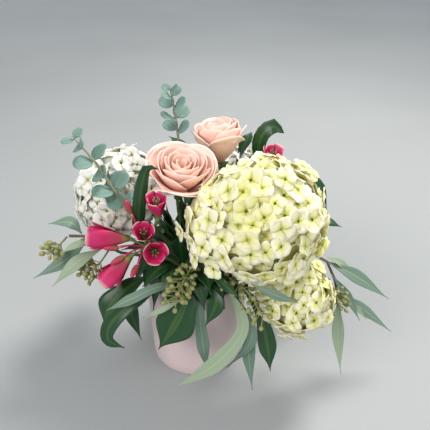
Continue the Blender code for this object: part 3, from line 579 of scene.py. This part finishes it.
# single leaves: midrib points, half widths, the way the upper face looks, finish
leaves = {
    "salal_leaf_front": (((-5, -42, 130), (-7, -60, 138), (-9, -73, 130), (-21, -82, 106),
                          (-41, -86, 72)), (1.1, 1.1, 14, 22, 0.4), (0.1, -0.8, 0.5), "dark"),
    "salal_leaf_right_front": (((38, -33, 126), (50, -45, 132), (72, -62, 112), (84, -70, 63),
                                (89, -76, 27)), (1.1, 1.1, 6, 11, 0.3), (0.2, -0.9, 0.3), "dark"),
    "salal_leaf_left": (((-36, -26, 132), (-52, -36, 138), (-78, -47, 128), (-97, -58, 110),
                         (-106, -62, 86)), (1.1, 1.1, 11, 17, 0.3), (-0.4, -0.6, 0.7), "dark"),
    "salal_leaf_top": (((26, 34, 104), (28, 36, 145), (70, 58, 215), (76, 52, 270), (90, 50, 287),
                        (103, 50, 279)), (1.1, 1.1, 2, 9, 9, 0.3), (-0.3, -0.8, 0.5), "dark"),
    "salal_leaf_right": (((38, 12, 104), (42, 14, 145), (88, 44, 194), (118, 28, 234), (140, 14, 228),
                          (154, 4, 196)), (1.1, 1.1, 3, 11, 12, 0.3), (0.4, -0.3, 0.85), "dark"),
    "salal_leaf_rear_left": (((-24, 36, 126), (-36, 46, 142), (-72, 92, 165), (-104, 112, 158),
                              (-128, 122, 128)), (1.1, 1.1, 12, 21, 0.3), (-0.2, 0.5, 0.85), "dark"),
    "salal_leaf_rear": (((-6, 42, 130), (-8, 60, 138), (-14, 78, 132), (-22, 92, 100),
                         (-26, 96, 58)), (1.1, 1.1, 13, 21, 0.3), (-0.1, 0.85, 0.4), "dark"),
    "salal_leaf_rear_right": (((36, 28, 126), (48, 40, 138), (92, 62, 138), (124, 66, 124),
                               (146, 62, 94)), (1.1, 1.1, 11, 18, 0.3), (0.4, 0.3, 0.85), "dark"),
    "alstroemeria_left_leaf": (((-29, -19, 108), (-34, -21, 145), (-60, -31, 190), (-58, -44, 222),
                                (-53, -50, 254), (-45, -53, 282), (-33, -57, 283)),
                               (1.1, 1.1, 4, 7, 7, 5, 0.3), (-0.2, 0.9, 0.2), "dark"),
    "gum_leaf_1": (((7, -43, 124), (8, -60, 132), (6, -74, 116), (9, -77, 72), (14, -80, 31)),
                   (1.0, 1.0, 5, 7.5, 0.3), (0.2, -0.9, 0.2), "gum"),
    "gum_leaf_2": (((24, -38, 127), (33, -50, 137), (55, -76, 98), (25, -92, 57), (-25, -95, 20)),
                   (1.0, 1.0, 7, 9.5, 0.3), (-0.2, -0.7, 0.6), "sage"),
    "gum_leaf_3": (((30, -36, 120), (40, -50, 129), (64, -68, 92), (62, -74, 58), (67, -91, 12)),
                   (1.0, 1.0, 4, 8, 0.3), (0.1, -0.95, 0.2), "gum"),
    "gum_leaf_4": (((-16, -40, 132), (-20, -56, 140), (-40, -71, 148), (-68, -80, 139), (-96, -82, 125)),
                   (1.0, 1.0, 5, 6, 0.3), (0.0, -0.6, 0.8), "gum"),
    "salal_leaf_twisted": (((-26, -34, 126), (-38, -48, 132), (-66, -66, 126), (-92, -76, 104),
                            (-99, -78, 80), (-80, -82, 70)), (1.1, 1.1, 8, 9, 8, 0.3), (-0.3, -0.9, 0.2),
                           "dark"),
    "seeded_left_leaf_1": (((-126, -27, 190), (-138, -25, 203), (-162, -26, 202)), (0.9, 8, 0.3),
                           (0, -0.3, 0.95), "gum"),
    "seeded_left_leaf_2": (((-120, -29, 182), (-146, -36, 160), (-185, -41, 138)), (0.9, 9, 0.3),
                           (-0.3, -0.6, 0.7), "gum"),
    "seeded_left_leaf_3": (((-104, -29, 172), (-130, -50, 166), (-158, -60, 141)), (0.9, 8, 0.3),
                           (-0.2, -0.7, 0.7), "sage"),
    "seeded_right_leaf_1": (((156, -6, 138), (190, -20, 126), (233, -26, 96)), (0.9, 9, 0.3),
                            (0.3, -0.6, 0.7), "gum"),
    "seeded_right_leaf_2": (((173, -18, 100), (202, -30, 84), (240, -36, 53)), (0.9, 7, 0.3),
                            (0.4, -0.6, 0.7), "gum"),
    "seeded_right_leaf_3": (((174, -22, 92), (172, -42, 60), (176, -68, 14)), (0.9, 8, 0.3),
                            (0.2, -0.9, 0.3), "sage"),
}
bladeShape = dict(rows=30, darkWave=0.03, tint=0.5, thick=0.5)

for leafName, (leafKeys, leafHalf, leafFace, leafFinish) in leaves.items():
    leafMesh = newMesh()
    leafWave = bladeShape["darkWave"] if leafFinish == "dark" else 0.0
    leafSheet(leafMesh, leafKeys, leafHalf, leafFace, bladeShape["tint"], bladeShape["rows"], leafWave)
    finishPiece(leafName + "_blade", leafMesh, leafFinish, (leafName,),
                bladeShape["thick"])
print("leaves done")

# sprigs of round-leaved eucalyptus: stem points, leaf pairs as (place along the stem, radius)
sprigs = {
    "eucalyptus_left": dict(stem=((-18, -9, 108), (-21, -10, 145), (-56, -26, 190), (-82, -28, 240),
                                  (-104, -16, 272), (-128, -6, 298)),
                            leaves=((0.60, 11), (0.69, 11), (0.77, 11), (0.85, 10), (0.93, 8), (0.985, 6))),
    "eucalyptus_top": dict(stem=((-6, 16, 104), (-7, 19, 145), (-16, 44, 220), (-21, 52, 285),
                                 (-27, 52, 334)),
                           leaves=((0.78, 9), (0.84, 10), (0.90, 9), (0.95, 7), (0.985, 5))),
}
roundShape = dict(petiole=5.0, petioleRadii=(0.6, 0.5, 0.3), gap=2.2, long=1.05, bend=0.10, grid=8,
                  tint=(0.3, 0.7), thick=0.4, lean=0.45, twigRadius=1.5, twigEnd=0.6)


# a square grid drawn out to a disc and bent, on a short petiole
def roundLeaf(bm, start, way, face, radius):
    s = roundShape
    tube(bm, (start, start + way * s["petiole"] / 2, start + way * s["petiole"]), s["petioleRadii"],
         sides=5, stations=4)
    normal = (face - way * face.dot(way)).normalized()
    side = way.cross(normal)

    def shape(u, v):
        w = 2 * v - 1
        across = u * sqrt(1 - w * w / 2) * radius
        along = w * sqrt(1 - u * u / 2) * radius * s["long"]
        lift = s["bend"] * radius * (u * u - w * w)
        return start + way * (along + radius + s["gap"]) + side * across + normal * lift, abs(u)

    sheet(bm, s["grid"], s["grid"], shape, rng.uniform(*s["tint"]))


def makeSprig(name, spec):
    s = roundShape
    stalk = newMesh()
    radii = [s["twigRadius"]] * (len(spec["stem"]) - 1) + [s["twigEnd"]]
    tube(stalk, spec["stem"], radii, stations=24)
    finishPiece(name + "_twig", stalk, "twig")
    steps = 100
    points, _ = curvePoints(spec["stem"], steps + 1)
    bm = newMesh()
    for pair, (place, radius) in enumerate(spec["leaves"]):
        at = round(place * steps)
        ahead = (points[min(at + 1, steps)] - points[at - 1]).normalized()
        side = ahead.cross(Vector((0.1, 0.9, 0.3))).normalized()
        up = side.cross(ahead)
        turn = pair * pi / 2 + 0.5  # each pair stands across the one below
        for hand in (-1, 1):
            way = ((side * cos(turn) + up * sin(turn)) * hand + ahead * s["lean"]).normalized()
            roundLeaf(bm, points[at], way, ahead + Vector((0.3 * hand, -1.1, 0.5)), radius)
    finishPiece(name + "_leaves", bm, "silver", (name,), s["thick"])


for sprigName, sprigSpec in sprigs.items():
    makeSprig(sprigName, sprigSpec)
print("round-leaved sprigs done")

# seed clusters: points of the main stalk, number of capsules, how far out they stand
clusters = {
    "seeded_left_seeds_1": (((-142, -31, 188), (-148, -40, 184), (-158, -44, 176)), 24, 11),
    "seeded_left_seeds_2": (((-98, -28, 168), (-108, -38, 157), (-124, -44, 146)), 26, 12),
    "seeded_right_seeds": (((160, -14, 118), (165, -32, 112), (168, -38, 98)), 30, 14),
    "seeded_front_seeds_1": (((-1, -28, 112), (-3, -40, 145), (-10, -72, 160), (-18, -98, 152)), 44, 16),
    "seeded_front_seeds_2": (((20, -24, 112), (26, -40, 145), (56, -78, 150), (74, -94, 128)), 44, 16),
}
capsuleShape = dict(radius=(2.0, 3.0), long=1.3, out=(0.55, 1.0), lean=0.5, tint=(0.2, 0.8),
                    stalk=(0.6, 0.5, 0.8), covered=36, mainRadius=1.0, mainEnd=0.5)


# capsules on short stalks, from the end of the main stalk back over its outer part
def makeCluster(name, keys, count, reach):
    s = capsuleShape
    bm = newMesh()
    tube(bm, keys, [s["mainRadius"]] * (len(keys) - 1) + [s["mainEnd"]], stations=14)
    tipLayer = bm.verts.layers.float["tip"]
    tintLayer = bm.verts.layers.float["tint"]
    steps = 60
    points, _ = curvePoints(keys, steps + 1)
    for n in range(count):
        at = steps - round(s["covered"] * (n + 0.3) / count)
        ahead = (points[min(at + 1, steps)] - points[at - 1]).normalized()
        side = ahead.cross(Vector((0.1, 0.2, 0.97))).normalized()
        up = side.cross(ahead)
        turn = n * goldenAngle
        way = (side * cos(turn) + up * sin(turn) + ahead * s["lean"]).normalized()
        far = reach * rng.uniform(*s["out"])
        end = points[at] + way * far
        tube(bm, (points[at], points[at].lerp(end, 0.5), end), s["stalk"], sides=5, stations=4)
        made = bmesh.ops.create_uvsphere(bm, u_segments=8, v_segments=6, radius=rng.uniform(*s["radius"]))
        tint = rng.uniform(*s["tint"])
        for vert in made["verts"]:
            vert[tipLayer] = max(0.0, min(1.0, 0.5 + vert.co.z / 7.0))  # browner at the outer end
            vert[tintLayer] = tint
        matrix = frameOf(end + way * 2.0, way) @ Matrix.Diagonal((1.0, 1.0, s["long"], 1.0))
        bmesh.ops.transform(bm, matrix=matrix, verts=made["verts"])
    finishPiece(name + "_capsules", bm, "seed", (name,))


for clusterName, (clusterKeys, clusterCount, clusterReach) in clusters.items():
    makeCluster(clusterName, clusterKeys, clusterCount, clusterReach)
print("seed clusters done")

# small leaves between the heads: midrib points, half width, the way the upper face looks
smallLeaves = {
    "gum": (
        (((-92, -14, 262), (-92, -18, 234), (-87, -20, 208)), 6, (0.2, -1, 0.3)),
        (((60, -64, 112), (64, -80, 80), (38, -84, 42)), 7, (0.3, -0.9, 0.3)),
        (((60, -96, 172), (84, -108, 167), (108, -112, 160)), 5, (0, -0.7, 0.7)),
        (((-100, -24, 172), (-122, -10, 170), (-150, 0, 158)), 6, (-0.2, -0.3, 0.9)),
        (((162, -16, 126), (180, -34, 106), (196, -44, 78)), 6, (0.4, -0.7, 0.5)),
    ),
    "sage": (
        (((-12, -78, 138), (-34, -86, 130), (-56, -87, 119)), 3.5, (0, -0.7, 0.7)),
        (((158, -4, 142), (174, -8, 136), (192, -12, 121)), 6, (0.2, -0.4, 0.9)),
        (((-112, -30, 180), (-128, -44, 186), (-146, -52, 180)), 5, (-0.2, -0.5, 0.8)),
        (((176, -22, 96), (190, -34, 92), (206, -40, 76)), 4, (0.4, -0.7, 0.5)),
    ),
    "dark": (
        (((18, -70, 172), (32, -86, 164), (50, -92, 150)), 5, (0, -0.7, 0.7)),
        (((-70, -38, 122), (-76, -46, 96), (-66, -50, 52)), 9, (0, -0.9, 0.4)),
        (((140, 6, 186), (154, 2, 188), (171, 0, 182)), 8, (0, -0.2, 1)),
        (((140, -30, 112), (152, -48, 98), (150, -56, 78)), 6, (0.3, -0.8, 0.4)),
        (((20, -60, 140), (24, -74, 128), (12, -80, 100)), 10, (0, -0.8, 0.5)),
        (((-10, 40, 230), (-20, 66, 258), (-34, 84, 262)), 9, (-0.2, 0.5, 0.8)),
        (((46, 70, 220), (62, 92, 252), (70, 108, 258)), 9, (0.2, 0.4, 0.8)),
        (((-52, 70, 170), (-60, 96, 196), (-62, 118, 190)), 11, (-0.1, 0.7, 0.7)),
        (((-4, 70, 150), (-12, 100, 172), (-20, 126, 160)), 12, (0, 0.6, 0.8)),
    ),
}
smallShape = dict(foot=0.6, end=0.3, tint=(0.3, 0.7), rows=16, thick=0.4)


def makeSmallLeaves():
    s = smallShape
    for finish, leafRows in smallLeaves.items():
        bm = newMesh()
        for keys, half, face in leafRows:
            leafSheet(bm, keys, (s["foot"], half, s["end"]), face, rng.uniform(*s["tint"]), s["rows"])
        finishPiece("small_" + finish + "_leaves", bm, finish, (), s["thick"])


makeSmallLeaves()
print("small leaves done")

# leaves round the foam: some stand out over the rim, some hang over it, some rise between the stems
# start and middle are how far out and how high those points of a midrib are
fillerShape = dict(
    thick=0.5, foot=1.2, end=0.4, wave=0.04,
    over=dict(count=22, uneven=0.1, start=(34, 146), middle=(60, 156), out=(74, 92), height=(128, 150),
              half=(10, 14), tint=(0.2, 0.6), rows=14),
    rim=dict(count=24, lean=10, start=(48, 139), middleOut=64, middleHeight=(140, 148), out=(72, 84),
             height=(104, 124), half=(9, 12), tint=(0.2, 0.6), rows=14),
    crown=dict(count=26, foot=(8, 34), footHeight=146, shift=(8, 10), arch=6, out=(22, 60),
               height=(182, 214), half=(9, 14), tint=(0.1, 0.5), rows=12),
)


# a point so far out from the pot's axis and so high
def outAndUp(way, out, up):
    return way * out + Vector((0, 0, up))


def fillerLeaf(bm, keys, spec, face):
    s = fillerShape
    half = (s["foot"], rng.uniform(*spec["half"]), s["end"])
    leafSheet(bm, keys, half, face, rng.uniform(*spec["tint"]), spec["rows"], s["wave"])


def makeFiller():
    bm = newMesh()
    over = fillerShape["over"]
    for i in range(over["count"]):
        angle = 2 * pi * i / over["count"] + rng.uniform(-over["uneven"], over["uneven"])
        out = rng.uniform(*over["out"])
        height = rng.uniform(*over["height"])
        way = Vector((cos(angle), sin(angle), 0))
        keys = (outAndUp(way, *over["start"]), outAndUp(way, *over["middle"]), outAndUp(way, out, height))
        fillerLeaf(bm, keys, over, (0, 0, 1))
    rim = fillerShape["rim"]
    for i in range(rim["count"]):
        angle = 2 * pi * (i + 0.4) / rim["count"]
        way = Vector((cos(angle), sin(angle), 0))
        lean = Vector((-way.y, way.x, 0)) * rng.uniform(-rim["lean"], rim["lean"])
        keys = (outAndUp(way, *rim["start"]),
                outAndUp(way, rim["middleOut"], rng.uniform(*rim["middleHeight"])),
                outAndUp(way, rng.uniform(*rim["out"]), rng.uniform(*rim["height"])) + lean)
        fillerLeaf(bm, keys, rim, outAndUp(way, 0.6, 0.8))
    crown = fillerShape["crown"]
    for i in range(crown["count"]):
        angle = goldenAngle * i
        way = Vector((cos(angle), sin(angle), 0))
        foot = outAndUp(way, rng.uniform(*crown["foot"]), crown["footHeight"])
        top = outAndUp(way, rng.uniform(*crown["out"]), rng.uniform(*crown["height"]))
        top += Vector((*crown["shift"], 0))
        keys = (foot, foot.lerp(top, 0.5) + Vector((0, 0, crown["arch"])), top)
        fillerLeaf(bm, keys, crown, outAndUp(way, 0.8, 0.6))
    finishPiece("filler_leaves", bm, "dark", (), fillerShape["thick"])


makeFiller()
print("filler leaves done")

# the table runs back, bends up and rises as a backdrop: metres along its length
stageShape = dict(length=24.0, front=-18.0, halfWidth=16.0, bendFrom=21.0, bendRadius=0.7, rise=2.0,
                  grain=1.3, grainPart=0.25, roughness=0.8, paintedShadeBefore=0.2, paintedLightFrom=2.6)
# painted shade: the darker stops colour the front of the table, the pale one its back and the backdrop
tableGrainAndPaintedShade = ((0.0, (0.375, 0.395, 0.40)), (0.25, (0.41, 0.43, 0.43)), (0.75, (0.72, 0.76, 0.77)))


# a pale table with painted shade: darker at the front, paler towards the back
def tableMaterial():
    s = stageShape
    material = bpy.data.materials.new("paleTable")
    material.use_nodes = True
    nodes = material.node_tree.nodes
    links = material.node_tree.links
    coords = nodes.new("ShaderNodeTexCoord")
    grain = nodes.new("ShaderNodeTexNoise")
    grain.inputs["Scale"].default_value = s["grain"]
    links.new(coords.outputs["Object"], grain.inputs["Vector"])
    split = nodes.new("ShaderNodeSeparateXYZ")
    links.new(coords.outputs["Object"], split.inputs["Vector"])
    # painted shade: this value rises from the front of the table to the back, so the front is darker
    paler = nodes.new("ShaderNodeMapRange")
    paler.inputs["From Min"].default_value = s["paintedShadeBefore"]
    paler.inputs["From Max"].default_value = s["paintedLightFrom"]
    paler.inputs["To Max"].default_value = 0.5
    links.new(split.outputs["Y"], paler.inputs["Value"])
    place = nodes.new("ShaderNodeMath")
    place.operation = "MULTIPLY_ADD"
    place.inputs[1].default_value = s["grainPart"]
    links.new(grain.outputs["Fac"], place.inputs[0])
    links.new(paler.outputs["Result"], place.inputs[2])
    colours = ramp(nodes, tableGrainAndPaintedShade)
    links.new(place.outputs[0], colours.inputs["Fac"])
    links.new(colours.outputs["Color"], nodes["Principled BSDF"].inputs["Base Color"])
    nodes["Principled BSDF"].inputs["Roughness"].default_value = s["roughness"]
    return material


def makeStage():
    s = stageShape
    bm = bmesh.new()
    made = bmesh.ops.create_grid(bm, x_segments=2, y_segments=96, size=1.0)
    for vert in made["verts"]:
        run = (vert.co.y + 1) / 2 * s["length"]
        depth = run + s["front"]
        height = 0.0
        if run > s["bendFrom"]:
            bend = min(1.0, run - s["bendFrom"]) * pi / 2
            depth = s["bendFrom"] + s["front"] + s["bendRadius"] * sin(bend)
            height = s["bendRadius"] * (1 - cos(bend)) + max(0.0, run - s["bendFrom"] - 1.0) * s["rise"]
        vert.co = Vector((vert.co.x * s["halfWidth"], depth, height))
    for face in bm.faces:
        face.smooth = True
    mesh = bpy.data.meshes.new("table_top")
    bm.to_mesh(mesh)
    bm.free()
    mesh.materials.append(tableMaterial())
    floor = bpy.data.objects.new("table_top", mesh)
    bpy.context.scene.collection.objects.link(floor)


makeStage()
print("table done")

lamps = {
    "keyLight": dict(place=(0.55, 0.60, 1.55), size=0.6, power=25.0, colour=(1.0, 0.97, 0.93)),
    "fillLight": dict(place=(-0.9, -1.1, 1.2), size=1.2, power=17.0, colour=(1.0, 0.97, 0.95)),
    "sideLight": dict(place=(1.3, -0.9, 0.8), size=1.2, power=6.0, colour=(1.0, 1.0, 1.0)),
}
lampTarget = Vector((0, 0, 0.15))
skyLight = dict(colour=(0.92, 0.94, 0.98, 1.0), strength=0.55)
view = dict(place=(0.023, -0.540, 0.510), tilt=60, lens=45.2, sensor=36.0)


def areaLight(name, spec):
    data = bpy.data.lights.new(name, "AREA")
    data.shape = "DISK"
    data.size = spec["size"]
    data.energy = spec["power"]
    data.color = spec["colour"]
    lamp = bpy.data.objects.new(name, data)
    lamp.location = spec["place"]
    lamp.rotation_euler = (lampTarget - Vector(spec["place"])).to_track_quat("-Z", "Y").to_euler()
    bpy.context.scene.collection.objects.link(lamp)


for lampName, lampSpec in lamps.items():
    areaLight(lampName, lampSpec)
world = bpy.data.worlds.new("studio")
world.use_nodes = True
world.node_tree.nodes["Background"].inputs["Color"].default_value = skyLight["colour"]
world.node_tree.nodes["Background"].inputs["Strength"].default_value = skyLight["strength"]
bpy.context.scene.world = world
print("lights done")

cameraData = bpy.data.cameras.new("camera")
cameraData.lens = view["lens"]
cameraData.sensor_width = view["sensor"]
camera = bpy.data.objects.new("camera", cameraData)
camera.location = view["place"]
camera.rotation_euler = (radians(view["tilt"]), 0, 0)
bpy.context.scene.collection.objects.link(camera)
bpy.context.scene.camera = camera
bpy.context.scene.view_settings.view_transform = "Standard"
print("camera done")
